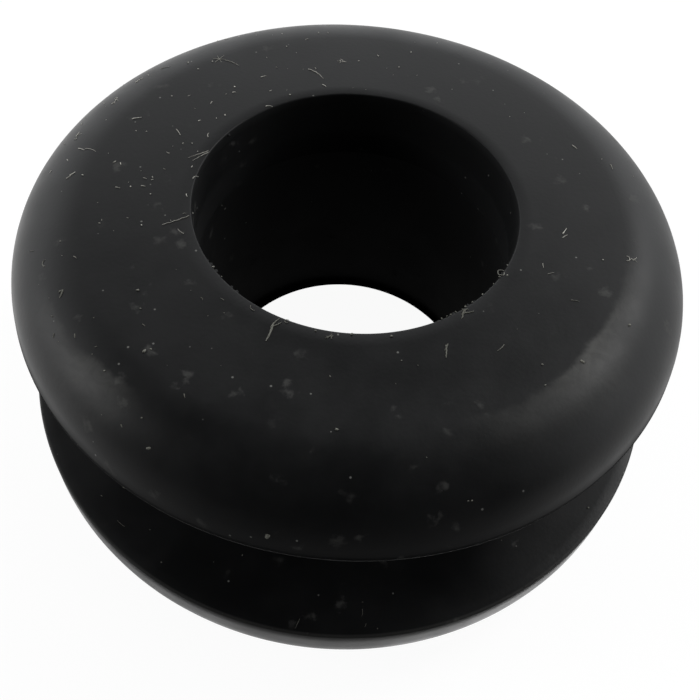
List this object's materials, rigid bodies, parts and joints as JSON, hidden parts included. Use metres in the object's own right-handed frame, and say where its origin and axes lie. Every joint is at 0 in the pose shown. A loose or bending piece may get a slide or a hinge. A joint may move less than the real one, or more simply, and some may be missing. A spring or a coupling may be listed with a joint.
{
  "type": "rubber mounting bushing",
  "caption": "Round rubber mounting bushing: a straight bore through a grooved ring whose two rounded flanges grip the edge of a panel hole.",
  "frame": {"origin": "on the bore's axis, at the flat underside of the wider, lower flange", "axes": "+Z along the bore, from the lower flange up to the upper flange"},
  "size_m": [0.0262, 0.0262, 0.0122],
  "materials": {
    "rubber": "matt black moulded rubber with a soft sheen"
  },
  "bodies": {
    "root": {"bushing": "rubber"}
  },
  "joints": []
}
